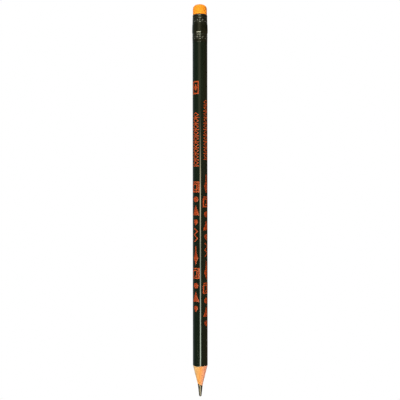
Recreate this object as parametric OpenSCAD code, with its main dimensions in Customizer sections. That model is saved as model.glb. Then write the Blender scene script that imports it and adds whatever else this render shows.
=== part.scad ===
// Round wood-cased graphite pencil with a crimped ferrule and an eraser.
// It stands on its writing point: the origin is the point and +Z runs up the axis to the eraser.
// The front of the pencil faces -Y, and angles around it are counted from there towards +X.

/* [Overall] */
// Length from the writing point to the crown of the eraser
pencil_len = 190; // [160:1:200]
// Outer diameter of the lacquered barrel
barrel_d = 7.2; // [6.9:0.1:7.4]

/* [Sharpened end] */
// Diameter of the graphite core
core_d = 2.4; // [2:0.1:3]
// Length of bare graphite beyond the wood
lead_exposed = 6; // [4:0.5:8]
// Radius of the blunted point
nose_r = 0.55; // [0.2:0.01:0.8]
// Half angle of the wood cone, in degrees
cone_angle = 14.3; // [11:0.1:18]

/* [Casing] */
// Thickness of the glue film in the seam and around the core
glue_t = 0.1; // [0.08:0.01:0.15]
// Thickness of the primer coat
primer_t = 0.08; // [0.08:0.01:0.12]
// Thickness of the lacquer coat
lacquer_t = 0.1; // [0.08:0.01:0.15]

/* [Ferrule] */
// Length of the ferrule
ferrule_len = 13.3; // [12.5:0.1:15]
// Thickness of its sheet metal
sheet_t = 0.27; // [0.2:0.01:0.3]
// Length of the wood tenon inside the ferrule
tenon_len = 9; // [8.6:0.1:9.2]
// Number of crimp dimples in each row
crimps = 12; // [8:2:14]
// Depth of a crimp dimple
crimp_depth = 0.26; // [0.1:0.02:0.3]

/* [Eraser] */
// Length of the eraser beyond the ferrule
eraser_out = 5.2; // [4.5:0.1:8]
// Diameter of the exposed eraser
eraser_d = 6.8; // [6.6:0.1:7]
// Radius of the worn edge around its crown
eraser_round = 2.4; // [1:0.1:2.6]

/* [Printed motifs] */
// Thickness of the ink film
ink_t = 0.05; // [0.04:0.01:0.08]
// Width of the strokes in the line motifs
stroke = 0.55; // [0.4:0.05:0.6]
// Height of the uppermost square spiral above the point
first_spiral_z = 101.6; // [96:0.2:104]
// Length of one run of motifs, from a spiral to the next one
run_len = 41.6; // [41.6:0.2:44]
// How much lower every second column of motifs starts
column_drop = 7.2; // [0:0.2:7.2]
// Turn of the first column, in degrees from the front
column_turn = -36; // [-45:1:-30]

/* [Hidden] */
$fn = 96;

// radii of the layers, from the core outwards
core_r = core_d / 2;
groove_r = core_r + glue_t;
barrel_r = barrel_d / 2;
primer_r = barrel_r - lacquer_t;
wood_r = primer_r - primer_t;
// the shoulder that the ferrule's lower edge butts against
shoulder = 0.07;
tenon_r = wood_r - shoulder;

// levels along the axis
eraser_top = pencil_len;
rim_z = pencil_len - eraser_out;
ferrule_z = rim_z - ferrule_len;
tenon_top = ferrule_z + tenon_len;

// The seam between the casing halves runs midway between two crimps, on both sides
seam_turn = 360 / crimps;

// Height at which the sharpener's cone cuts a layer of radius r
function cut_z(r) = lead_exposed + (r - core_r) / tan(cone_angle);

// Points of a circular arc in the half plane (radius, height)
function arc(centre, radius, from, to, steps = 8) = [
    for (i = [0 : steps])
        let (a = from + (to - from) * i / steps)
        centre + radius * [cos(a), sin(a)]
];

// ---- graphite core ----

// The bare lead is a slim cone that touches the round nose and meets the wood at full radius
nose_gap = lead_exposed - nose_r;
lead_angle = atan(core_r / nose_gap) - asin(nose_r / norm([core_r, nose_gap]));

module graphite_core() {
    color("#4a4742")
    rotate_extrude()
    polygon(concat(
        arc([0, nose_r], nose_r, -90, -lead_angle),
        [[core_r, lead_exposed], [core_r, tenon_top], [0, tenon_top]]
    ));
}

// ---- casing ----

// Both casing halves and the seam between them, as one turned body with the core's groove
module turned_casing() {
    rotate_extrude()
    polygon([
        [groove_r, cut_z(groove_r)],
        [wood_r, cut_z(wood_r)],
        [wood_r, ferrule_z],
        [tenon_r, ferrule_z],
        [tenon_r, tenon_top],
        [groove_r, tenon_top]
    ]);
}

// One half of the casing: side 1 lies to the right of the seam, side -1 to the left
module casing_half(side) {
    difference() {
        intersection() {
            turned_casing();
            rotate([0, 0, seam_turn])
            translate([side > 0 ? glue_t / 2 : -barrel_d - glue_t / 2, -barrel_d, 0])
            cube([barrel_d, 2 * barrel_d, pencil_len]);
        }
        crimp_bosses(lower_crimp_h);
    }
}

module casing_half_left() {
    color("#d9a566") casing_half(-1);
}

module casing_half_right() {
    color("#d29a62") casing_half(1);
}

// The glue around the core fills its groove, and a strip of it lies in the seam on either side
module core_glue() {
    color("#e8d9b0")
    rotate_extrude()
    polygon([
        [core_r, cut_z(core_r)],
        [groove_r, cut_z(groove_r)],
        [groove_r, tenon_top],
        [core_r, tenon_top]
    ]);
}

module seam_glue() {
    color("#e8d9b0")
    intersection() {
        turned_casing();
        rotate([0, 0, seam_turn])
        translate([-glue_t / 2, -barrel_d, 0])
        cube([glue_t, 2 * barrel_d, pencil_len]);
    }
}

// ---- paint ----

// A coat of paint between two radii, cut by the sharpener at its lower edge
module coat(inner_r, outer_r) {
    rotate_extrude()
    polygon([
        [inner_r, cut_z(inner_r)],
        [outer_r, cut_z(outer_r)],
        [outer_r, ferrule_z],
        [inner_r, ferrule_z]
    ]);
}

module primer_coat() {
    color("#3a2f28") coat(wood_r, primer_r);
}

module lacquer_coat() {
    color("#16211c") coat(primer_r, barrel_r);
}

// ---- ferrule ----

// Heights above the ferrule's lower edge
lower_lip_h = 0.5;
lower_rings_h = [1.5, 2.6, 3.6];
shoulder_rings_h = [9.75, 10.75];
upper_ring_h = 11.7;
rim_bead_h = 12.9;
lower_crimp_h = 2.05;
upper_crimp_h = 10.3;
belly_h = [4.4, 5, 6.6, 8.8, 9.4];

// How far the profile stands out from the plain sleeve, or is drawn in
neck_draw = 0.08;
belly_swell = [0, 0.13, 0.17, 0.09, 0];
bead_height = 0.12;
ring_height = 0.07;
rim_curl = 0.06;

// Radii of the pressed profile
sleeve_r = tenon_r + sheet_t;
neck_r = sleeve_r - neck_draw;
lip_r = sleeve_r + bead_height;
ring_r = sleeve_r + ring_height;
shoulder_ring_r = sleeve_r + ring_height / 2;
upper_ring_r = neck_r + bead_height;
rim_bead_r = neck_r + ring_height;
mouth_r = neck_r - sheet_t - rim_curl;
bead_r = 0.3;

// A punch presses each dimple into the sheet, whose inside bulges into the wood or the eraser
punch_r = 0.75;
punch_centre = sleeve_r + punch_r - crimp_depth;

// A ring of balls around the axis, the first one half a step from the front
module ball_ring(height, radius) {
    for (i = [0 : crimps - 1])
        rotate([0, 0, (i + 0.5) * 360 / crimps])
        translate([0, -punch_centre, height])
        sphere(r = radius, $fn = 32);
}

// What the inside of one row of crimps takes out of the wood or the eraser
module crimp_bosses(h) {
    ball_ring(ferrule_z + h, punch_r + sheet_t);
}

// Half section of the sleeve without its beads
module sleeve_section() {
    polygon(concat(
        [[tenon_r, 0], [sleeve_r, 0]],
        [for (i = [0 : len(belly_h) - 1]) [sleeve_r + belly_swell[i], belly_h[i]]],
        [[neck_r, upper_ring_h], [neck_r, ferrule_len]],
        [[mouth_r, ferrule_len], [tenon_r, upper_ring_h]]
    ));
}

// Half section of one pressed bead whose crest stands at crest_r
module bead_section(h, crest_r) {
    translate([crest_r - bead_r, h])
    circle(r = bead_r, $fn = 32);
}

module ferrule_section() {
    sleeve_section();
    difference() {
        union() {
            bead_section(lower_lip_h, lip_r);
            for (h = lower_rings_h)
                bead_section(h, ring_r);
            for (h = shoulder_rings_h)
                bead_section(h, shoulder_ring_r);
            bead_section(upper_ring_h, upper_ring_r);
            bead_section(rim_bead_h, rim_bead_r);
        }
        square([tenon_r, ferrule_len]);
    }
}

module ferrule() {
    color("#1b1b19")
    difference() {
        union() {
            translate([0, 0, ferrule_z])
            rotate_extrude()
            ferrule_section();
            intersection() {
                translate([0, 0, ferrule_z])
                cylinder(r = tenon_r + sheet_t / 2, h = upper_ring_h);
                union() {
                    crimp_bosses(lower_crimp_h);
                    crimp_bosses(upper_crimp_h);
                }
            }
        }
        ball_ring(ferrule_z + lower_crimp_h, punch_r);
        ball_ring(ferrule_z + upper_crimp_h, punch_r);
    }
}

// ---- eraser ----

eraser_r = eraser_d / 2;
// The rubber swells out over the rim in a quarter round
swell = eraser_r - mouth_r;

module eraser() {
    color("#ff9a1e")
    difference() {
        rotate_extrude()
        polygon(concat(
            [[0, tenon_top], [tenon_r, tenon_top], [tenon_r, ferrule_z + upper_ring_h]],
            arc([mouth_r, rim_z + swell], swell, -90, 0, 4),
            arc([eraser_r - eraser_round, eraser_top - eraser_round], eraser_round, 0, 90),
            [[0, eraser_top]]
        ));
        crimp_bosses(upper_crimp_h);
    }
}

// ---- printed motifs ----

columns = 4;
column_step = 360 / columns;
runs = 2;

// Distances of the motifs below the spiral that starts their run
dot_drop = 5.95;
triangle_drop = 11.25;
drop_drop = 17.1;
zigzag_drop = 23.1;
spear_drop = 33;

// Sizes of the motifs, as width across the barrel and height along it
spiral_w = 3.8;
spiral_h = 5.2;
spiral_gap = 0.42;
dot_r = 1.35;
triangle_w = 3.7;
triangle_h = 4.9;
drop_r = 1.15;
drop_h = 3.05;
zigzag_half_w = 0.9;
zigzag_rise = 1.65;
zigzag_strokes = 4;
spear_w = 2.6;
spear_h = 9.3;
link_w = 3.3;
link_h = 2.9;
panel_w = 3.2;
panel_h = 6.2;

// Half the height of the band of film that a motif is cut from
motif_band = 6;
link_band = 2;

function spiral_z(column) = first_spiral_z - (column % 2) * column_drop;

// Ink in the shape of the flat children, printed on the barrel at an angle and a height
module printed(turn, z, band = motif_band) {
    intersection() {
        translate([0, 0, z - band])
        difference() {
            cylinder(r = barrel_r + ink_t, h = 2 * band);
            translate([0, 0, -band])
            cylinder(r = barrel_r, h = 4 * band);
        }
        rotate([0, 0, turn])
        translate([0, 0, z])
        rotate([90, 0, 0])
        linear_extrude(height = barrel_d)
        children();
    }
}

// The same motif in every column and in the given runs, at a distance below each spiral
module in_columns(drop, run_list) {
    color("#c8481f")
    for (column = [0 : columns - 1], run = run_list)
        printed(column_turn + column * column_step, spiral_z(column) - drop - run * run_len)
        children();
}

// A bar of ink with its lower left corner at (x, y)
module bar(x, y, w, h) {
    translate([x, y]) square([w, h]);
}

// A square spiral that winds inwards from its top left corner
module spiral_shape() {
    inset = stroke + spiral_gap;
    left = -spiral_w / 2;
    right = spiral_w / 2 - stroke;
    bottom = -spiral_h / 2;
    top = spiral_h / 2 - stroke;
    bar(left, top, spiral_w, stroke);
    bar(right, bottom, stroke, spiral_h);
    bar(left, bottom, spiral_w, stroke);
    bar(left, bottom, stroke, spiral_h - inset);
    bar(left, top - inset, spiral_w - inset, stroke);
    bar(right - inset, bottom + inset, stroke, spiral_h - 2 * inset);
    bar(left + inset, bottom + inset, spiral_w - 2 * inset, stroke);
}

module print_spirals() {
    in_columns(0, [0 : runs - 1]) spiral_shape();
}

module print_dots() {
    in_columns(dot_drop, [0 : runs - 1]) circle(r = dot_r);
}

module print_triangles() {
    in_columns(triangle_drop, [0 : runs - 1])
    polygon([[-triangle_w, -triangle_h] / 2, [triangle_w, -triangle_h] / 2, [0, triangle_h / 2]]);
}

// A drop whose point hangs down from its round body, on two lines that touch the circle
module print_drops() {
    below = drop_h - drop_r;
    touch = [sqrt(1 - pow(drop_r / below, 2)), -drop_r / below] * drop_r;
    in_columns(drop_drop, [0 : runs - 1])
    translate([0, drop_h / 2 - drop_r]) {
        circle(r = drop_r);
        polygon([[-touch[0], touch[1]], [0, -below], touch, [0, 0]]);
    }
}

// A zigzag line of slanting strokes
module zigzag_shape() {
    low = -zigzag_rise * zigzag_strokes / 2;
    // half the width of a slanting stroke, measured across the barrel
    reach = stroke / 2 * norm([2 * zigzag_half_w, zigzag_rise]) / zigzag_rise;
    function side(i) = (i % 2 == 0 ? -1 : 1) * zigzag_half_w;
    polygon(concat(
        [for (i = [0 : zigzag_strokes]) [side(i) - reach, low + zigzag_rise * i]],
        [for (i = [zigzag_strokes : -1 : 0]) [side(i) + reach, low + zigzag_rise * i]]
    ));
}

module print_zigzags() {
    in_columns(zigzag_drop, [0]) zigzag_shape();
}

// A spear with a slim shaft above a broad blade, its point down
module spear_shape() {
    blade_half = spear_w / 2;
    shaft_half = spear_w / 12;
    widest = -spear_h / 8;
    socket = spear_h / 8;
    polygon([
        [0, -spear_h / 2],
        [blade_half, widest],
        [2.2 * shaft_half, socket],
        [shaft_half, spear_h / 2],
        [-shaft_half, spear_h / 2],
        [-2.2 * shaft_half, socket],
        [-blade_half, widest]
    ]);
}

module print_spears() {
    in_columns(spear_drop, [0]) spear_shape();
    color("#c8481f")
    for (column = [1 : 2 : columns - 1])
        printed(column_turn + column * column_step, spiral_z(column) - spear_drop + run_len)
        spear_shape();
}

module lozenge(w, h) {
    polygon([[-w / 2, 0], [0, -h / 2], [w / 2, 0], [0, h / 2]]);
}

// One link of the chain ornament: an open lozenge with a bar across its foot
foot_t = 0.44;

module chain_link() {
    translate([0, stroke / 2])
    difference() {
        lozenge(link_w, link_h - stroke);
        lozenge(link_w - 2 * stroke, link_h - 2.6 * stroke);
    }
    bar(-link_w / 2, -link_h / 2, link_w, foot_t);
}

// Height of the lowest link above the uppermost spiral, and the number of links, in the
// even columns and in the odd ones
chain_starts = [11.3, 21.7];
link_counts = [9, 10];

module print_chains() {
    color("#c8481f")
    for (column = [0 : columns - 1])
        for (i = [0 : link_counts[column % 2] - 1])
            printed(column_turn + column * column_step,
                spiral_z(column) + chain_starts[column % 2] + i * link_h, link_band)
            chain_link();
}

// A framed panel with a plain lozenge in it, at the head of the first column
panel_rise = 47.8;
panel_lozenge_w = 1.5;
panel_lozenge_h = 3.6;

module print_panel() {
    color("#c8481f")
    printed(column_turn, first_spiral_z + panel_rise) {
        difference() {
            square([panel_w, panel_h], center = true);
            square([panel_w - 2 * stroke, panel_h - 2 * stroke], center = true);
        }
        lozenge(panel_lozenge_w, panel_lozenge_h);
    }
}

graphite_core();
casing_half_left();
casing_half_right();
core_glue();
seam_glue();
primer_coat();
lacquer_coat();
ferrule();
eraser();
print_panel();
print_chains();
print_spirals();
print_dots();
print_triangles();
print_drops();
print_zigzags();
print_spears();
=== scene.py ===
"""Looks for the graphite pencil: smooth, detailed meshes stand in for the CAD nodes.

Lengths are millimetres until a mesh is made. Angles around the pencil are radians from its
front, the -Y side, towards +X, and heights run up from the writing point.
"""
import math

import bmesh
import bpy
import numpy as np
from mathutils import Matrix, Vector
from mathutils.geometry import delaunay_2d_cdt


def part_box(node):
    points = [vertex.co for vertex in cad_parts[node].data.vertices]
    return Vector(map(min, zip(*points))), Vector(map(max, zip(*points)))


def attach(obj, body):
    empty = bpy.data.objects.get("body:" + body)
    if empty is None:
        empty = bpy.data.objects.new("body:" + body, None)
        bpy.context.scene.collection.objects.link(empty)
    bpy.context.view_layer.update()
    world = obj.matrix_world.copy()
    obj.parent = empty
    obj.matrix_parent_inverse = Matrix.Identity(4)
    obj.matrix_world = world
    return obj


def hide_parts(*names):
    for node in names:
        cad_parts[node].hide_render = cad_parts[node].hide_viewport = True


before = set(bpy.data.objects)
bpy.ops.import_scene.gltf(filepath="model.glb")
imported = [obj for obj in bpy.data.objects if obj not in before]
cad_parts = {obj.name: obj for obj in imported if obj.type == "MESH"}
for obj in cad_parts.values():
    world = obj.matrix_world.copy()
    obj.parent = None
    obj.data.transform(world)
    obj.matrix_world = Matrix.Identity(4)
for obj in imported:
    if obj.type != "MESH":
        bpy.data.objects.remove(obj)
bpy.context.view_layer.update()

MM = 0.001
TURN = 2 * math.pi
SMOOTH_ANGLE = math.radians(40)

# ---------------------------------------------------------------- sizes, read from the CAD nodes


def extent(node):
    """Outer radius, lowest level and highest level of a turned node, in millimetres."""
    low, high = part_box(node)
    return high.x / MM, low.z / MM, high.z / MM


CORE_R, _, TENON_TOP = extent("graphite_core")
GROOVE_R, LEAD_Z, _ = extent("core_glue")
BARREL_R, PAINT_Z, FERRULE_Z = extent("lacquer_coat")
PRIMER_R, _, _ = extent("primer_coat")
_, _, RIM_Z = extent("ferrule")
ERASER_R, _, ERASER_TOP = extent("eraser")

# the sharpener's cone cuts the inside of the lacquer at its lowest level
CONE_SLOPE = (PRIMER_R - CORE_R) / (PAINT_Z - LEAD_Z)

# true film thicknesses, finer than the CAD solids can hold
LACQUER_T = 0.03
PRIMER_T = 0.02
WOOD_R = BARREL_R - LACQUER_T - PRIMER_T
# the tenon is drawn slim enough to clear the bottoms of the crimps
TENON_R = WOOD_R - 0.5
INK_T = 0.035
NOSE_R = 0.61
SEAM_T = 0.1
SEAM_TURN = math.radians(30)


def cut_z(radius):
    """Level at which the sharpener's cone has this radius."""
    return LEAD_Z + (radius - CORE_R) / CONE_SLOPE


# ---------------------------------------------------------------- shape helpers


def waves(seed, count, turns, per_mm):
    """A smooth random field of angle and height, about -1 to 1, closing on itself all round."""
    rng = np.random.RandomState(seed)
    around = rng.randint(-turns, turns + 1, count)
    along = rng.uniform(-per_mm, per_mm, count) * TURN
    phase = rng.uniform(0, TURN, count)

    def field(angle, z):
        total = 0.0
        for i in range(count):
            total = total + np.sin(around[i] * angle + along[i] * z + phase[i])
        return total / math.sqrt(count)

    return field


def smoothstep(low, high, x):
    t = np.clip((x - low) / (high - low), 0, 1)
    return t * t * (3 - 2 * t)


def arc(centre, radius, start, end, steps):
    """Points of an arc in the half plane (radius, height), angles in degrees."""
    a = np.radians(np.linspace(start, end, steps + 1))
    return [(centre[0] + radius * math.cos(t), centre[1] + radius * math.sin(t)) for t in a]


def line(start, end, steps):
    """Evenly spaced points from start to end, without the end."""
    return [tuple(np.add(start, np.subtract(end, start) * i / steps)) for i in range(steps)]


def on_barrel(radius, angle, z):
    return np.stack([radius * np.sin(angle), -radius * np.cos(angle), z], -1)


def make_piece(name, points, faces, node, look):
    """A closed, smooth-shaded mesh that rides on the pencil in place of a CAD node."""
    mesh = bpy.data.meshes.new(name)
    mesh.from_pydata((np.asarray(points) * MM).tolist(), [], faces)
    shape = bmesh.new()
    shape.from_mesh(mesh)
    bmesh.ops.remove_doubles(shape, verts=shape.verts, dist=1e-7)
    bmesh.ops.dissolve_degenerate(shape, edges=shape.edges, dist=1e-8)
    bmesh.ops.recalc_face_normals(shape, faces=shape.faces)
    shape.to_mesh(mesh)
    shape.free()
    mesh.shade_smooth()
    mesh.set_sharp_from_angle(angle=SMOOTH_ANGLE)
    mesh.materials.append(look)
    piece = bpy.data.objects.new(name, mesh)
    bpy.context.scene.collection.objects.link(piece)
    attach(piece, "root")
    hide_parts(node)
    return piece


def grid_faces(rows, columns, wrap_rows, wrap_columns):
    """Quads of a grid of points, numbered row by row."""
    faces = []
    for i in range(rows if wrap_rows else rows - 1):
        below = i * columns
        above = (i + 1) % rows * columns
        for j in range(columns if wrap_columns else columns - 1):
            k = (j + 1) % columns
            faces.append((below + j, below + k, above + k, above + j))
    return faces


def turned(name, outline, sides, shape, node, look):
    """A solid turned round the axis. Its outline is closed, or starts and ends on the axis.
    shape(radius, angle, z) gives the moved radius and z."""
    outline = np.asarray(outline, float)
    angle = np.arange(sides) * TURN / sides
    r = np.repeat(outline[:, :1], sides, 1)
    z = np.repeat(outline[:, 1:], sides, 1)
    a = np.repeat(angle[None], len(outline), 0)
    if shape:
        r, z = shape(r, a, z)
    closed = outline[0, 0] > 0
    faces = grid_faces(len(outline), sides, closed, True)
    return make_piece(name, on_barrel(r, a, z).reshape(-1, 3), faces, node, look)


# ---------------------------------------------------------------- material helpers


def add_node(tree, kind, inputs=(), **settings):
    """A shader node. inputs pairs each socket's name or number with a value or an output."""
    node = tree.nodes.new(kind)
    for key, value in settings.items():
        setattr(node, key, value)
    for socket, value in dict(inputs).items():
        if isinstance(value, bpy.types.NodeSocket):
            tree.links.new(value, node.inputs[socket])
        else:
            node.inputs[socket].default_value = value
    return node


def math_node(tree, operation, *values):
    return add_node(tree, "ShaderNodeMath", enumerate(values), operation=operation).outputs[0]


def map_range(tree, value, low, high, to_low=0.0, to_high=1.0, smooth=True):
    kind = "SMOOTHSTEP" if smooth else "LINEAR"
    names = ["Value", "From Min", "From Max", "To Min", "To Max"]
    pairs = zip(names, [value, low, high, to_low, to_high])
    return add_node(tree, "ShaderNodeMapRange", pairs, interpolation_type=kind).outputs[0]


def noise(tree, size, stretch=1.0, detail=3.0, roughness=0.55, turn=0.0):
    """Noise with features of about size millimetres, drawn out along the pencil by stretch."""
    place = add_node(tree, "ShaderNodeTexCoord").outputs["Object"]
    scale = 1 / (size * MM)
    mapping = {"Vector": place, "Scale": (scale, scale, scale / stretch), "Rotation": (0, turn, 0)}
    vector = add_node(tree, "ShaderNodeMapping", mapping).outputs[0]
    settings = {"Vector": vector, "Scale": 1.0, "Detail": detail, "Roughness": roughness}
    return add_node(tree, "ShaderNodeTexNoise", settings).outputs["Fac"]


def ramp(tree, value, stops):
    """Colours blended along a value. stops are (position, colour)."""
    node = add_node(tree, "ShaderNodeValToRGB", {"Fac": value})
    elements = node.color_ramp.elements
    while len(elements) < len(stops):
        elements.new(0.5)
    for element, (position, colour) in zip(elements, stops):
        element.position = position
        element.color = (*colour, 1)
    return node.outputs["Color"]


def mix(tree, amount, a, b):
    inputs = {0: amount, 6: a, 7: b}
    return add_node(tree, "ShaderNodeMix", inputs, data_type="RGBA").outputs[2]


def bumps(tree, layers):
    """Stacked bumps. layers are (height field, height in millimetres)."""
    normal = None
    for height, depth in layers:
        inputs = {"Height": height, "Distance": depth * MM, "Strength": 1.0}
        if normal:
            inputs["Normal"] = normal
        normal = add_node(tree, "ShaderNodeBump", inputs).outputs[0]
    return normal


def new_material(name):
    material = bpy.data.materials.new(name)
    material.use_nodes = True
    material.node_tree.nodes.clear()
    return material, material.node_tree


def finish_material(tree, inputs):
    shader = add_node(tree, "ShaderNodeBsdfPrincipled", inputs)
    add_node(tree, "ShaderNodeOutputMaterial", {"Surface": shader.outputs[0]})


# ---------------------------------------------------------------- materials


def lacquer_material():
    """Deep green gloss lacquer with a faint orange peel, a little dust and fine handling scuffs."""
    material, tree = new_material("green_lacquer")
    cloud = noise(tree, 6, stretch=4, detail=2)
    colour = ramp(tree, cloud, [(0.3, (0.0042, 0.0078, 0.0048)), (0.7, (0.0062, 0.0108, 0.0068))])
    scuffs = noise(tree, 0.35, stretch=14, detail=4)
    rough = map_range(tree, scuffs, 0.5, 0.8, 0.055, 0.13)
    peel = noise(tree, 0.9, stretch=2, detail=2)
    normal = bumps(tree, [(peel, 0.0009), (scuffs, 0.0003)])
    inputs = {"Base Color": colour, "Roughness": rough, "IOR": 1.5, "Normal": normal}
    finish_material(tree, inputs)
    return material


def primer_material():
    """Dull dark primer, seen only at the cut edge."""
    material, tree = new_material("dark_primer")
    grain = noise(tree, 0.15, detail=4)
    colour = ramp(tree, grain, [(0.35, (0.035, 0.024, 0.016)), (0.7, (0.07, 0.05, 0.035))])
    rough = map_range(tree, grain, 0.3, 0.7, 0.6, 0.8)
    normal = bumps(tree, [(grain, 0.01)])
    finish_material(tree, {"Base Color": colour, "Roughness": rough, "IOR": 1.5, "Normal": normal})
    return material


# how far the bands of colour in the wood lean across, for each unit of height
RING_LEAN = 0.11


def wood_material(name, depth):
    """Cedar cut across its fibres: bands of colour across the pencil, partly growth rings and partly a
    painted tint of the light, pale yellow on the left and pink on the right; grain and open pores.
    depth darkens the slat's grain."""
    material, tree = new_material(name)
    place = add_node(tree, "ShaderNodeTexCoord").outputs["Object"]
    place_axes = add_node(tree, "ShaderNodeSeparateXYZ", {0: place}).outputs
    across = place_axes["X"]
    broad = noise(tree, 1.6, stretch=9, detail=3)
    fibres = noise(tree, 0.16, stretch=22, detail=4, roughness=0.65)
    pores = noise(tree, 0.09, stretch=7, detail=2)
    wander = math_node(tree, "MULTIPLY_ADD", broad, 1.6 * MM, -0.8 * MM)
    slant = math_node(tree, "MULTIPLY_ADD", place_axes["Z"], -RING_LEAN, RING_LEAN * 13.5 * MM)
    drift = math_node(tree, "ADD", wander, slant)
    place_across = math_node(tree, "ADD", across, drift)
    ring = map_range(tree, place_across, -3.6 * MM, 3.6 * MM, smooth=False)
    # painted light: besides the growth rings, these colours run from pale yellow on the left (-X) to
    # pink on the right (+X), the tint the side lights give
    ring_bands_and_side_tint = [
        (0.0, (0.6, 0.41, 0.26)),
        (0.2, (0.7, 0.4, 0.18)),
        (0.4, (0.71, 0.325, 0.11)),
        (0.5, (0.73, 0.275, 0.07)),
        (0.6, (0.76, 0.3, 0.1)),
        (0.7, (0.8, 0.32, 0.19)),
        (1.0, (0.84, 0.31, 0.25)),
    ]
    body = ramp(tree, ring, ring_bands_and_side_tint)
    late = (0.42, 0.15, 0.045, 1)
    streak = map_range(tree, fibres, 0.48, 0.72)
    veined = mix(tree, math_node(tree, "MULTIPLY", streak, depth), body, late)
    pore = map_range(tree, pores, 0.6, 0.74)
    colour = mix(tree, math_node(tree, "MULTIPLY", pore, 0.35), veined, late)
    rough = map_range(tree, fibres, 0.3, 0.75, 0.62, 0.86)
    normal = bumps(tree, [(fibres, 0.01), (pores, 0.006)])
    finish_material(tree, {"Base Color": colour, "Roughness": rough, "IOR": 1.45, "Normal": normal})
    return material


def glue_material():
    """Thin amber-white glue line."""
    material, tree = new_material("amber_glue")
    cloud = noise(tree, 0.3, detail=3)
    colour = ramp(tree, cloud, [(0.3, (0.46, 0.27, 0.1)), (0.7, (0.6, 0.38, 0.17))])
    rough = map_range(tree, cloud, 0.3, 0.7, 0.4, 0.6)
    normal = bumps(tree, [(cloud, 0.006)])
    finish_material(tree, {"Base Color": colour, "Roughness": rough, "IOR": 1.48, "Normal": normal})
    return material


def graphite_material():
    """Burnished graphite: dark grey with a metallic sheen and fine scratches."""
    material, tree = new_material("burnished_graphite")
    cloud = noise(tree, 0.5, stretch=2, detail=4)
    scratch = noise(tree, 0.07, stretch=12, detail=3, roughness=0.7)
    grey = ramp(tree, cloud, [(0.3, (0.05, 0.042, 0.026)), (0.7, (0.08, 0.069, 0.047))])
    lit = map_range(tree, scratch, 0.55, 0.75)
    colour = mix(tree, math_node(tree, "MULTIPLY", lit, 0.4), grey, (0.15, 0.14, 0.12, 1))
    rough = map_range(tree, scratch, 0.3, 0.7, 0.13, 0.22)
    normal = bumps(tree, [(scratch, 0.003), (cloud, 0.004)])
    inputs = {
        "Base Color": colour,
        "Metallic": 0.75,
        "Roughness": rough,
        "IOR": 1.8,
        "Normal": normal,
    }
    finish_material(tree, inputs)
    return material


def ferrule_material():
    """Black stove enamel over thin metal, glossy, with small scuffs."""
    material, tree = new_material("black_enamel")
    cloud = noise(tree, 2.2, detail=3)
    colour = ramp(tree, cloud, [(0.3, (0.006, 0.0066, 0.0036)), (0.7, (0.0092, 0.0098, 0.0058))])
    specks = noise(tree, 0.22, detail=3)
    rough = map_range(tree, specks, 0.5, 0.74, 0.12, 0.22)
    dents = noise(tree, 1.4, detail=2)
    normal = bumps(tree, [(dents, 0.012), (specks, 0.0012)])
    finish_material(tree, {"Base Color": colour, "Roughness": rough, "IOR": 1.55, "Normal": normal})
    return material


def eraser_material():
    """Matt yellow-orange rubber with a mealy grain, paler where rubbed, darkened just above the rim by
    painted shade from the rim, with some grime.
    """
    material, tree = new_material("orange_rubber")
    cloud = noise(tree, 2.4, detail=3)
    meal = noise(tree, 0.16, detail=4, roughness=0.7)
    body = ramp(tree, cloud, [(0.32, (0.86, 0.25, 0.005)), (0.68, (0.92, 0.295, 0.009))])
    pale = map_range(tree, meal, 0.54, 0.74)
    worn = mix(tree, math_node(tree, "MULTIPLY", pale, 0.2), body, (0.98, 0.35, 0.024, 1))
    place = add_node(tree, "ShaderNodeTexCoord").outputs["Object"]
    level = add_node(tree, "ShaderNodeSeparateXYZ", {0: place}).outputs["Z"]
    # painted shade: the rubber turns dark just above the rim, where the rim shades it, along with some
    # grime
    rim_shade_and_grime = map_range(tree, level, (RIM_Z + 0.32) * MM, (RIM_Z + 0.06) * MM, 0.0, 0.85)
    colour = mix(tree, rim_shade_and_grime, worn, (0.12, 0.03, 0.004, 1))
    rough = map_range(tree, meal, 0.3, 0.7, 0.68, 0.88)
    normal = bumps(tree, [(cloud, 0.02), (meal, 0.003)])
    finish_material(tree, {"Base Color": colour, "Roughness": rough, "IOR": 1.45, "Normal": normal})
    return material


def ink_material(name, pale, deep):
    """Orange-red print, uneven between two colours and thin in places."""
    material, tree = new_material(name)
    cloud = noise(tree, 1.1, detail=3)
    wear = noise(tree, 0.2, detail=4, roughness=0.7)
    body = ramp(tree, cloud, [(0.3, deep), (0.7, pale)])
    thin = map_range(tree, wear, 0.58, 0.78)
    colour = mix(tree, math_node(tree, "MULTIPLY", thin, 0.5), body, (0.12, 0.015, 0.004, 1))
    rough = map_range(tree, wear, 0.3, 0.7, 0.34, 0.5)
    normal = bumps(tree, [(wear, 0.004)])
    finish_material(tree, {"Base Color": colour, "Roughness": rough, "IOR": 1.38, "Normal": normal})
    return material


# ---------------------------------------------------------------- sharpened end

chip = waves(11, 9, 14, 0.0)
facet = waves(12, 14, 9, 0.35)
ridge = waves(13, 12, 22, 0.9)


def dip(angle):
    """How much lower the paint reaches left of the front, where the blade cut less deep."""
    return 0.32 * np.exp((np.cos(angle + 0.42) - 1) / 0.07)


def cone_radius(angle, z):
    """Radius of the sharpened surface, with the faint ridges that the blade leaves."""
    bulge = dip(angle) * CONE_SLOPE * smoothstep(9, 14, z)
    cuts = 0.012 * facet(angle, z) + 0.005 * ridge(angle, z)
    return CORE_R + (z - LEAD_Z) * CONE_SLOPE + bulge + cuts


def lead_edge(angle):
    """Level at which the wood ends on the lead: the blade cut deeper on the left than on the right."""
    return LEAD_Z - 0.15 - 0.45 * np.sin(angle) + 0.06 * chip(angle, 0)


def paint_edge(angle):
    """Level of the lacquer's lower edge, chipped a little back from the cone."""
    return cut_z(BARREL_R) + 0.05 * chip(angle, 0) - dip(angle)


def primer_edge(angle):
    return paint_edge(angle) - 0.09 - 0.03 * chip(2 * angle, 0)


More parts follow.
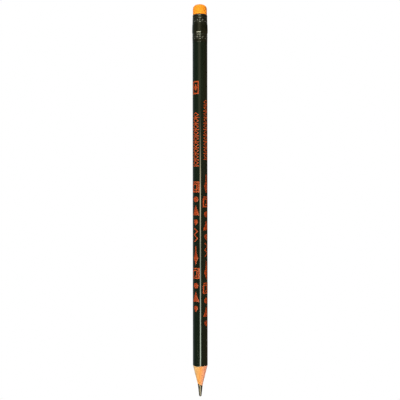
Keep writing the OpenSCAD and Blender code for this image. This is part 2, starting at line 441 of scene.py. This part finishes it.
def graphite_rod():
    """The lead: blunted nose, slim cone worn by writing, and the rod inside the casing."""
    run = LEAD_Z - NOSE_R
    tilt = math.atan(CORE_R / run) - math.asin(NOSE_R / math.hypot(CORE_R, run))
    nose = arc((0, NOSE_R), NOSE_R, -90, -math.degrees(tilt), 14)
    outline = [(0, 0)] + nose[1:-1] + line(nose[-1], (CORE_R, LEAD_Z), 60)
    # closer rows where the wood's edge follows the lead
    outline += line((CORE_R, LEAD_Z), (CORE_R, LEAD_Z + 2), 16)
    outline += line((CORE_R, LEAD_Z + 2), (CORE_R, TENON_TOP), 12)
    outline += [(CORE_R, TENON_TOP), (0, TENON_TOP)]
    worn = waves(21, 10, 6, 0.3)
    scored = waves(22, 16, 26, 1.2)

    def shape(r, a, z):
        bare = smoothstep(0, 0.5, z) * (1 - smoothstep(LEAD_Z + 0.4, LEAD_Z + 0.8, z))
        r = r * (1 + bare * (0.012 * worn(a, z) + 0.004 * scored(a, z)))
        # the lead never stands out of the wood above the edge of the cut
        inside = cone_radius(a, z) - 0.035
        covered = smoothstep(-0.25, 0.05, z - lead_edge(a))
        return np.where(covered > 0, r + covered * (np.minimum(r, inside) - r), r), z

    turned("graphite_rod", outline, 96, shape, "graphite_core", graphite_material())


def glue_sleeve(look):
    """The glue round the lead, cut off by the sharpener in a thin ring."""
    inner = CORE_R - 0.01
    outline = [(inner, LEAD_Z)] + line((GROOVE_R, cut_z(GROOVE_R)), (GROOVE_R, TENON_TOP), 8)
    outline += line((GROOVE_R, TENON_TOP), (inner, TENON_TOP), 2)
    outline += line((inner, TENON_TOP), (inner, LEAD_Z + 1), 8)

    def shape(r, a, z):
        low = z < cut_z(GROOVE_R) + 0.01
        edge = lead_edge(a) + np.where(r > CORE_R, 0.12, 0.03)
        z = np.where(low, edge, z)
        return np.where(low, np.minimum(r, cone_radius(a, z) - 0.012), r), z

    turned("glue_sleeve", outline, 96, shape, "core_glue", look)


def casing_slat(name, side, node, look):
    """One half of the casing: side 1 to the right of the seam, side -1 to the left."""
    cone = line((CORE_R, 0), (WOOD_R, 1), 56)
    outer = [(WOOD_R, z) for z in np.linspace(cut_z(WOOD_R) + 0.5, FERRULE_Z, 40)]
    tenon = [(TENON_R, FERRULE_Z), (TENON_R, TENON_TOP), (GROOVE_R, TENON_TOP)]
    bore = [(GROOVE_R, z) for z in np.linspace(TENON_TOP, cut_z(GROOVE_R) + 0.6, 20)[1:]]
    outline = np.array(cone + outer + tenon + bore)
    steps = 96
    share = np.linspace(0, 1, steps + 1)
    base_r = np.repeat(outline[:, :1], steps + 1, 1)
    base_z = np.repeat(outline[:, 1:], steps + 1, 1)
    gap = np.arcsin(SEAM_T / 2 / base_r)
    start = SEAM_TURN + (gap if side > 0 else gap - math.pi)
    a = start + share[None] * (math.pi - 2 * gap)
    # the cone's rows run from the edge on the lead to the full radius, over the uneven cut
    t = base_z[: len(cone)]
    low = lead_edge(a[: len(cone)])
    top = cut_z(WOOD_R)
    z = base_z.copy()
    r = base_r.copy()
    z[: len(cone)] = low + (top - low) * t
    r[: len(cone)] = np.minimum(cone_radius(a[: len(cone)], z[: len(cone)]), WOOD_R)
    rows, columns = r.shape
    faces = grid_faces(rows, columns, True, False)
    faces.append(tuple(i * columns for i in range(rows)))
    faces.append(tuple((rows - 1 - i) * columns + columns - 1 for i in range(rows)))
    points = on_barrel(r, a, z).reshape(-1, 3)
    make_piece(name, points, faces, node, look)


def seam_strips(look):
    """The two strips of glue in the seam, flush with the cone."""
    points, faces = [], []
    for turn in (SEAM_TURN, SEAM_TURN + math.pi):
        levels = np.linspace(0, 1, 48)
        low = lead_edge(turn) + 0.05
        cone_z = low + (cut_z(WOOD_R) - low) * levels
        outer = list(zip(np.minimum(cone_radius(turn, cone_z) - 0.008, WOOD_R), cone_z))
        outer += [(WOOD_R - 0.01, FERRULE_Z), (TENON_R, FERRULE_Z + 0.1), (TENON_R, TENON_TOP)]
        inner = [(min(r - 0.02, GROOVE_R), z) for r, z in outer]
        axis = np.array([math.sin(turn), -math.cos(turn), 0])
        across = np.array([math.cos(turn), math.sin(turn), 0]) * SEAM_T / 2
        first = len(points)
        for side in (-1, 1):
            for r, z in outer + inner[::-1]:
                points.append(axis * r + across * side + np.array([0, 0, z]))
        count = len(outer) * 2
        for i in range(count):
            k = (i + 1) % count
            faces.append((first + i, first + k, first + count + k, first + count + i))
        half = len(outer)
        for shift in (0, count):
            for i in range(half - 1):
                back = count - 1 - i
                faces.append(tuple(first + shift + n for n in (i, i + 1, back - 1, back)))
    make_piece("seam_strips", points, faces, "seam_glue", look)


def paint_layer(name, inner, outer, edge, ripple, node, look):
    """A coat of paint on the barrel. Its lower edge is thinned and follows edge(angle)."""
    thickness = outer - inner
    lip = [(inner, 0.0), (inner + 0.4 * thickness, 0.004), (inner + 0.85 * thickness, 0.03)]
    skirt = [(outer, h) for h in (0.09, 0.2, 0.4, 0.7, 1.1, 1.6)]
    foot = cut_z(BARREL_R)
    length = FERRULE_Z - foot
    wall = [(outer, h) for h in np.linspace(2.2, length, 190)]
    back = [(inner, length), (inner, length / 2), (inner, 2.2)]
    outline = lip + skirt + wall + back

    def shape(r, a, h):
        follow = 1 - smoothstep(0.0, 2.2, h)
        z = foot + h + follow * (edge(a) - foot)
        if ripple:
            r = r + np.where(r > outer - 1e-6, 0.002 * ripple(a, z), 0)
        return r, z

    turned(name, outline, 192, shape, node, look)


def primer_layer():
    outer = WOOD_R + PRIMER_T
    look = primer_material()
    paint_layer("primer_layer", WOOD_R, outer, primer_edge, None, "primer_coat", look)


def lacquer_layer():
    inner = WOOD_R + PRIMER_T
    ripple = waves(51, 16, 4, 0.12)
    look = lacquer_material()
    paint_layer("lacquer_layer", inner, BARREL_R, paint_edge, ripple, "lacquer_coat", look)


# ---------------------------------------------------------------- ferrule and eraser

CRIMPS = 12
CRIMP_H = (2.05, 10.3)
CRIMP_DEPTH = 0.28
CRIMP_SIZE = 0.75
SLEEVE_R = 3.62
NECK_R = 3.54
MOUTH_R = 3.21
FERRULE_LEN = RIM_Z - FERRULE_Z
# the pressed profile: (height, crest above the sleeve) of each ring, and the slope of their flanks
RINGS = (
    (1.5, 0.038),
    (2.6, 0.065),
    (3.6, 0.065),
    (9.75, 0.055),
    (10.75, 0.055),
    (11.7, 0.065),
    (12.85, 0.055),
)
RING_SLOPE = 0.29
BELLY_H = (0, 4.33, 4.86, 6.4, 8.6, 9.3, 11.6, 14)
BELLY_R = (SLEEVE_R, SLEEVE_R, 3.775, 3.78, 3.71, SLEEVE_R - 0.02, NECK_R, NECK_R)


def sleeve_radius(h):
    """Outer radius of the ferrule at a height above its lower edge, before the crimps."""
    spread = np.linspace(-0.2, 0.2, 13)
    weight = np.exp(-((spread / 0.09) ** 2))
    base = sum(w * np.interp(h + s, BELLY_H, BELLY_R) for w, s in zip(weight, spread)) / weight.sum()
    for centre, crest in RINGS:
        # straight flanks under a rounded crest
        fall = RING_SLOPE * (np.hypot(h - centre, 0.03) - 0.03)
        base = base + np.maximum(crest - fall, 0)
    return base


def crimp_dent(angle, h):
    """Depth pressed into the sleeve by both rows of crimps, each with a slight raised rim."""
    step = TURN / CRIMPS
    off = (angle / step - 0.5 + 0.5) % 1 - 0.5
    across = off * step * SLEEVE_R
    dent = 0
    for centre in CRIMP_H:
        far = np.hypot(across, h - centre) / CRIMP_SIZE
        dent = dent + CRIMP_DEPTH * np.clip(1 - far**2, 0, 1) ** 2
        dent = dent - 0.01 * np.exp(-(((far - 1.15) / 0.22) ** 2))
    return dent


def pressed_ferrule():
    """The thin sleeve: beads, rings, belly and crimps, its rim curled in on the eraser."""
    sheet = 0.27
    heights = np.linspace(0.06, FERRULE_LEN - 0.16, 330)
    outer = [(1.0, h) for h in heights]
    curl_r = 0.16
    rim = sleeve_radius(FERRULE_LEN - curl_r)
    curl = arc((rim - curl_r, FERRULE_LEN - curl_r), curl_r, 0, 90, 6)[1:]
    curl += arc((MOUTH_R + 0.12, FERRULE_LEN - 0.12), 0.12, 90, 180, 5)
    inner = [(0.0, h) for h in heights[::-3]]
    lip = [(SLEEVE_R - 0.2, 0.0), (SLEEVE_R - 0.02, 0.0)]
    outline = outer + curl + inner + lip
    dents = waves(31, 14, 7, 0.16)

    def shape(r, a, h):
        skin = sleeve_radius(h) - crimp_dent(a, h) + 0.008 * dents(a, h)
        hidden = np.minimum(skin - sheet * 0.8, MOUTH_R + 0.12 * (FERRULE_LEN - h))
        r = np.where(r == 1.0, skin, np.where(r == 0.0, hidden, r))
        return r, h + FERRULE_Z

    turned("pressed_ferrule", outline, 288, shape, "ferrule", ferrule_material())


def eraser_plug():
    """The rubber plug: squeezed by the rim, swelling out above it, its crown rounded by use."""
    swell = ERASER_R - MOUTH_R
    top = ERASER_TOP
    rim = RIM_Z
    outline = [(0, TENON_TOP)] + [(3.05, z) for z in np.linspace(TENON_TOP, rim - 0.3, 14)]
    outline += arc((MOUTH_R - 0.02, rim + swell), swell, -90, 0, 6)
    crown_h = 2.6
    outline += [(ERASER_R, z) for z in np.linspace(rim + swell, top - crown_h, 12)[1:-1]]
    crown = np.radians(np.linspace(0, 90, 40))
    # a squared-off ellipse: nearly flat on top, quick round the edge
    for t in crown[:-1]:
        outline.append((ERASER_R * math.cos(t) ** 0.66, top - crown_h + crown_h * math.sin(t) ** 0.76))
    outline.append((0, top))
    lumps = waves(41, 12, 5, 0.12)
    grit = waves(42, 22, 30, 1.6)

    def shape(r, a, z):
        bare = smoothstep(rim, rim + 1, z)
        scale = 1 + bare * (0.004 * lumps(a, z) + 0.0012 * grit(a, z))
        worn = 0.10 * smoothstep(top - 3, top, z) * (r / ERASER_R) * np.cos(a - 2.2)
        return r * scale, z - np.maximum(worn, 0)

    turned("eraser_plug", outline, 144, shape, "eraser", eraser_material())


# ---------------------------------------------------------------- printed motifs

STROKE = 0.55
ZIGZAG_STROKE = 0.47
COLUMNS = 4
COLUMN_TURN = math.radians(-36)
FIRST_SPIRAL_Z = 101.6
RUN_LEN = 41.6
COLUMN_DROP = 7.2
# distances of the motifs below the spiral that starts their run
DOT_DROP = 5.95
TRIANGLE_DROP = 11.25
DROP_DROP = 17.1
ZIGZAG_DROP = 23.1
SPEAR_DROP = 33
# (height above the uppermost spiral, number of links) of the chains, in even and odd columns
CHAINS = ((11.3, 9), (21.7, 10))
LINK_PITCH = 2.9
PANEL_RISE = 47.8
DOT_R = 1.35


def spiral_z(column):
    return FIRST_SPIRAL_Z - column % 2 * COLUMN_DROP


def column_angle(column):
    return COLUMN_TURN + column * TURN / COLUMNS


def stroke_outline(path, width):
    """Outline of a stroke of even width along an open path, with mitred corners."""
    path = [Vector(p) for p in path]
    left, right = [], []
    for i, point in enumerate(path):
        before = (point - path[i - 1]).normalized() if i else None
        after = (path[i + 1] - point).normalized() if i + 1 < len(path) else None
        along = (before or after) + (after or before)
        along.normalize()
        across = Vector((-along.y, along.x))
        ahead = after or before
        spread = width / 2 / max(across.dot(Vector((-ahead.y, ahead.x))), 0.3)
        left.append(point + across * spread)
        right.append(point - across * spread)
    return [tuple(p) for p in left + right[::-1]]


def box_loop(w, h):
    return [(-w / 2, -h / 2), (w / 2, -h / 2), (w / 2, h / 2), (-w / 2, h / 2)]


def lozenge_loop(w, h, z=0.0):
    return [(-w / 2, z), (0, z - h / 2), (w / 2, z), (0, z + h / 2)]


def round_loop(radius, start=0.0, end=TURN, steps=40, z=0.0):
    a = np.linspace(start, end, steps, endpoint=end - start < TURN)
    return [(radius * math.cos(t), z + radius * math.sin(t)) for t in a]


def spiral_motif():
    w, h, gap = 3.8, 5.2, 0.42
    x, z, inset = w / 2 - STROKE / 2, h / 2 - STROKE / 2, STROKE + gap
    path = [(-x, z), (x, z), (x, -z), (-x, -z), (-x, z - inset)]
    path += [(x - inset, z - inset), (x - inset, inset - z), (inset - x, inset - z)]
    return [[stroke_outline(path, STROKE)]]


def triangle_motif():
    w, h = 3.7, 4.9
    return [[[(-w / 2, -h / 2), (w / 2, -h / 2), (0, h / 2)]]]


def drop_motif():
    radius, height = 1.15, 3.05
    below = height - radius
    touch = math.asin(-radius / below)
    centre = height / 2 - radius
    return [[round_loop(radius, touch, math.pi - touch, 36, centre) + [(0, centre - below)]]]


def zigzag_motif():
    half_w, rise, strokes = 0.9, 1.65, 4
    points = []
    for i in range(strokes + 1):
        points.append((-half_w if i % 2 == 0 else half_w, rise * (i - strokes / 2)))
    return [[stroke_outline(points, ZIGZAG_STROKE)]]


def spear_motif():
    w, h = 2.6, 9.3
    right = [(0, -h / 2), (w / 2, -h / 8), (w / 5.5, h / 8), (w / 12, h / 2)]
    return [[right + [(-x, z) for x, z in right[:0:-1]]]]


def link_motif():
    w, h, foot = 3.3, 2.9, 0.44
    ring = [lozenge_loop(w, h - STROKE, STROKE / 2)]
    ring.append(lozenge_loop(w - 2 * STROKE, h - 2.6 * STROKE, STROKE / 2))
    bar = [(x, z - h / 2 + foot / 2) for x, z in box_loop(w, foot)]
    return [ring, [bar]]


def panel_motif():
    w, h = 3.2, 6.2
    return [[box_loop(w, h), box_loop(w - 2 * STROKE, h - 2 * STROKE)], [lozenge_loop(1.5, 3.6)]]


def soften(loop, radius, spacing):
    """The loop with its corners rounded as ink rounds them, its edges split to the spacing."""
    points = [Vector(p) for p in loop]
    out = []
    for i, corner in enumerate(points):
        before, after = points[i - 1], points[(i + 1) % len(points)]
        reach = min(radius, 0.4 * (before - corner).length, 0.4 * (after - corner).length)
        a = corner + (before - corner).normalized() * reach
        b = corner + (after - corner).normalized() * reach
        for t in (0, 0.25, 0.5, 0.75, 1):
            out.append(a * (1 - t) ** 2 + corner * 2 * t * (1 - t) + b * t**2)
    split = []
    for i, point in enumerate(out):
        ahead = out[(i + 1) % len(out)]
        gap = (ahead - point).length
        if gap < 1e-5:
            continue
        steps = max(1, math.ceil(gap / spacing))
        split += [point.lerp(ahead, k / steps) for k in range(steps)]
    return split


def inset_loop(loop, depth):
    """The loop moved by depth to its left side, point by point."""
    out = []
    for i, point in enumerate(loop):
        along = (loop[(i + 1) % len(loop)] - loop[i - 1]).normalized()
        out.append(point + Vector((-along.y, along.x)) * depth)
    return out


def signed_area(loop):
    return sum(a.x * b.y - b.x * a.y for a, b in zip(loop, loop[1:] + loop[:1])) / 2


def inked(point, loops):
    """Whether a point lies inside an odd number of the loops."""
    inside = False
    for loop in loops:
        for a, b in zip(loop, loop[1:] + loop[:1]):
            if (a.y > point.y) != (b.y > point.y):
                inside ^= point.x < a.x + (point.y - a.y) * (b.x - a.x) / (b.y - a.y)
    return inside


def film(shape, seed):
    """Flat mesh of one inked shape: points as (x, height, share of the thickness), and faces.
    The film is full in the middle, thins towards a ragged edge, and has a flat back."""
    rng = np.random.RandomState(seed)
    rings = []
    for number, loop in enumerate(shape):
        loop = soften(loop, 0.16, 0.2)
        # outer loops run anticlockwise and holes clockwise, so that the ink is on the left
        if (signed_area(loop) > 0) != (number == 0):
            loop.reverse()
        ragged = rng.uniform(-0.012, 0.012, len(loop))
        rings.append([p + Vector((0, 1)) * r for p, r in zip(loop, ragged)])
    inner = [inset_loop(ring, 0.05) for ring in rings]
    flat, edges = [], []
    for ring in inner:
        first = len(flat)
        flat += ring
        edges += [(first + i, first + (i + 1) % len(ring)) for i in range(len(ring))]
    count = len(flat)
    low_x, high_x = min(p.x for p in flat), max(p.x for p in flat)
    low_z, high_z = min(p.y for p in flat), max(p.y for p in flat)
    for x in np.arange(low_x + 0.15, high_x, 0.3):
        for z in np.arange(low_z + 0.15, high_z, 0.45):
            spot = Vector((x, z))
            if min((spot - p).length for p in flat[:count]) > 0.16:
                flat.append(spot)
    verts, _, faces, origins, _, _ = delaunay_2d_cdt(flat, edges, [], 1, 1e-6, True)
    centres = [sum((verts[i] for i in f), Vector((0, 0))) / len(f) for f in faces]
    faces = [f for f, centre in zip(faces, centres) if inked(centre, inner)]
    where = {}
    for i, sources in enumerate(origins):
        for source in sources:
            where[source] = i
    points = [(v.x, v.y, 1.0) for v in verts]
    back = len(points)
    points += [(v.x, v.y, -1.0) for v in verts]
    made = [tuple(f) for f in faces] + [tuple(back + i for i in reversed(f)) for f in faces]
    first = 0
    for ring in rings:
        edge = len(points)
        size = len(ring)
        points += [(p.x, p.y, 0.3) for p in ring] + [(p.x, p.y, -1.0) for p in ring]
        for i in range(size):
            k = (i + 1) % size
            top_i, top_k = where[first + i], where[first + k]
            made.append((edge + i, edge + k, top_k, top_i))
            made.append((edge + size + i, edge + size + k, edge + k, edge + i))
            made.append((back + top_i, back + top_k, edge + size + k, edge + size + i))
        first += size
    return points, made


def printed(name, motif, places, node, look):
    """One motif's ink at all its places, (angle, height), laid on the barrel as one piece."""
    all_points, all_faces = [], []
    for number, (turn, height) in enumerate(places):
        for part, shape in enumerate(motif):
            points, faces = film(shape, 100 * number + part)
            x, z, share = np.array(points).T
            radius = np.where(share > 0, BARREL_R + share * INK_T, BARREL_R - 0.008)
            angle = turn + np.arcsin(x / BARREL_R)
            first = len(all_points)
            all_points += on_barrel(radius, angle, z + height).tolist()
            all_faces += [tuple(first + i for i in face) for face in faces]
    make_piece(name, all_points, all_faces, node, look)


def in_columns(drop, runs):
    """Places of a motif in every column and in each of the runs, below the run's spiral."""
    return [
        (column_angle(c), spiral_z(c) - drop - run * RUN_LEN)
        for c in range(COLUMNS)
        for run in range(runs)
    ]


def print_motifs():
    ink = ink_material("orange_ink", (0.44, 0.062, 0.008), (0.3, 0.034, 0.005))
    deep_ink = ink_material("deep_orange_ink", (0.36, 0.046, 0.005), (0.21, 0.02, 0.003))
    printed("ink_spirals", spiral_motif(), in_columns(0, 2), "print_spirals", ink)
    printed("ink_dots", [[round_loop(DOT_R)]], in_columns(DOT_DROP, 2), "print_dots", deep_ink)
    triangles = in_columns(TRIANGLE_DROP, 2)
    printed("ink_triangles", triangle_motif(), triangles, "print_triangles", deep_ink)
    printed("ink_drops", drop_motif(), in_columns(DROP_DROP, 2), "print_drops", deep_ink)
    printed("ink_zigzags", zigzag_motif(), in_columns(ZIGZAG_DROP, 1), "print_zigzags", ink)
    spears = in_columns(SPEAR_DROP, 1)
    # every second column has one more spear above its uppermost spiral
    for c in range(1, COLUMNS, 2):
        spears.append((column_angle(c), spiral_z(c) - SPEAR_DROP + RUN_LEN))
    printed("ink_spears", spear_motif(), spears, "print_spears", deep_ink)
    links = []
    for c in range(COLUMNS):
        start, count = CHAINS[c % 2]
        links += [(column_angle(c), spiral_z(c) + start + LINK_PITCH * i) for i in range(count)]
    printed("ink_chains", link_motif(), links, "print_chains", ink)
    panel = [(COLUMN_TURN, FIRST_SPIRAL_Z + PANEL_RISE)]
    printed("ink_panel", panel_motif(), panel, "print_panel", ink)


# ---------------------------------------------------------------- studio

CAMERA_DISTANCE = 340.0
CAMERA_HEIGHT = 95.3
CAMERA_ROLL = math.radians(0.06)
VIEW_WIDTH = 194.13
SENSOR = 36.0


def camera():
    data = bpy.data.cameras.new("camera")
    data.sensor_width = SENSOR
    data.lens = SENSOR * CAMERA_DISTANCE / VIEW_WIDTH
    data.clip_start = 0.01
    data.clip_end = 50
    eye = bpy.data.objects.new("camera", data)
    eye.location = (-0.05 * MM, -CAMERA_DISTANCE * MM, CAMERA_HEIGHT * MM)
    eye.rotation_euler = (math.pi / 2, CAMERA_ROLL, 0)
    bpy.context.scene.collection.objects.link(eye)
    bpy.context.scene.camera = eye


def studio_light():
    """Soft boxes at a distance, as a world that depends on direction: a narrow strip in front,
    a broad low box on the left, dim ones at the sides, behind and overhead, and a white backdrop."""
    world = bpy.data.worlds.new("studio")
    world.use_nodes = True
    tree = world.node_tree
    tree.nodes.clear()
    direction = add_node(tree, "ShaderNodeTexCoord").outputs["Generated"]
    axes = add_node(tree, "ShaderNodeSeparateXYZ", {0: direction}).outputs
    height = math_node(tree, "ARCSINE", axes["Z"])
    elevation = math_node(tree, "DEGREES", height)
    behind = math_node(tree, "MULTIPLY", axes["Y"], -1.0)
    around = math_node(tree, "ARCTAN2", axes["X"], behind)
    azimuth = math_node(tree, "DEGREES", around)

    def panel(colour, strength, centre, half, soft, low, high):
        """A soft box, in degrees: its azimuth's centre, half width and soft end, and its
        (start, full) levels below and above."""
        turned_away = math_node(tree, "SUBTRACT", azimuth, centre)
        off = math_node(tree, "ABSOLUTE", math_node(tree, "WRAP", turned_away, 180.0, -180.0))
        shape = map_range(tree, off, half + soft, half - soft)
        if low:
            shape = math_node(tree, "MULTIPLY", shape, map_range(tree, elevation, *low))
        if high:
            shape = math_node(tree, "MULTIPLY", shape, map_range(tree, elevation, *high))
        inputs = {0: tuple(c * strength for c in colour), "Scale": shape}
        return add_node(tree, "ShaderNodeVectorMath", inputs, operation="SCALE").outputs[0]

    white = (1.0, 1.0, 1.0)
    panels = [
        # faint fill, cool from the left and warm from the right
        panel((0.85, 1.0, 0.95), 0.07, -90, 100, 80, None, None),
        panel((1.0, 0.6, 0.3), 0.2, 80, 60, 60, None, (18, 8)),
        # edge light from behind on the left, and from straight behind
        panel((0.7, 0.95, 1.0), 0.32, -125, 20, 20, None, None),
        panel(white, 0.35, 180, 28, 12, None, None),
        # the strip in front: its warm upper part and its greener lower part
        panel((1.0, 0.9, 0.6), 12.8, 3.6, 7.0, 3, (-6, 0), (7.5, 0)),
        panel((0.87, 1.0, 0.8), 14.0, 3.6, 7.0, 3, (-18, -14), (2, -12)),
        # low in front, seen in the lead and the crimps
        panel((1.0, 1.0, 0.9), 20.0, 9.0, 7.0, 4, (-40, -34), (-20, -24)),
        # dim olive glow over the strip
        panel((1.0, 1.0, 0.6), 0.8, -10, 13, 24, (1, 9), None),
        # broad and low on the left, seen in the ferrule's rings
        panel((1.0, 0.99, 0.7), 13.5, -24, 29, 7, (-27, -22), (-14, -16)),
        # overhead: all round, and stronger on the left and the right
        panel((1.0, 0.97, 0.8), 0.75, 0, 200, 1, (24, 48), None),
        panel((1.0, 0.97, 0.8), 1.1, -65, 50, 40, (34, 52), None),
        panel((1.0, 0.95, 0.85), 1.2, 75, 50, 40, (42, 56), None),
        # behind, below and above
        panel((1.0, 0.98, 0.92), 1.5, 180, 60, 30, (-70, -60), (-26, -34)),
        panel((1.0, 0.98, 0.92), 0.9, 180, 60, 30, (22, 34), None),
    ]
    total = panels[0]
    for light in panels[1:]:
        total = add_node(tree, "ShaderNodeVectorMath", {0: total, 1: light}).outputs[0]
    lit = add_node(tree, "ShaderNodeBackground", {"Color": total})
    seen = add_node(tree, "ShaderNodeBackground", {"Color": (1, 1, 1, 1)})
    eye_ray = add_node(tree, "ShaderNodeLightPath").outputs["Is Camera Ray"]
    inputs = {0: eye_ray, 1: lit.outputs[0], 2: seen.outputs[0]}
    both = add_node(tree, "ShaderNodeMixShader", inputs).outputs[0]
    add_node(tree, "ShaderNodeOutputWorld", {"Surface": both})
    world.cycles.sampling_method = "MANUAL"
    world.cycles.sample_map_resolution = 2048
    bpy.context.scene.world = world
    bpy.context.scene.view_settings.view_transform = "Standard"


def pale_floor():
    """A wide white floor that the point stands on."""
    material, tree = new_material("pale_floor")
    glow = add_node(tree, "ShaderNodeEmission", {"Color": (1, 1, 1, 1), "Strength": 1.0})
    add_node(tree, "ShaderNodeOutputMaterial", {"Surface": glow.outputs[0]})
    half = 20
    mesh = bpy.data.meshes.new("floor")
    corners = [(-half, -half, 0), (half, -half, 0), (half, half, 0), (-half, half, 0)]
    mesh.from_pydata(corners, [], [(0, 1, 2, 3)])
    mesh.materials.append(material)
    floor = bpy.data.objects.new("floor", mesh)
    bpy.context.scene.collection.objects.link(floor)
    floor.visible_glossy = False
    floor.visible_diffuse = False
    floor.visible_shadow = False


# ---------------------------------------------------------------- the pencil

camera()
studio_light()
pale_floor()

glue = glue_material()
graphite_rod()
glue_sleeve(glue)
warm = wood_material("cedar_left", 0.42)
rosy = wood_material("cedar_right", 0.52)
casing_slat("casing_slat_left", -1, "casing_half_left", warm)
casing_slat("casing_slat_right", 1, "casing_half_right", rosy)
seam_strips(glue)
primer_layer()
lacquer_layer()
pressed_ferrule()
eraser_plug()
print_motifs()
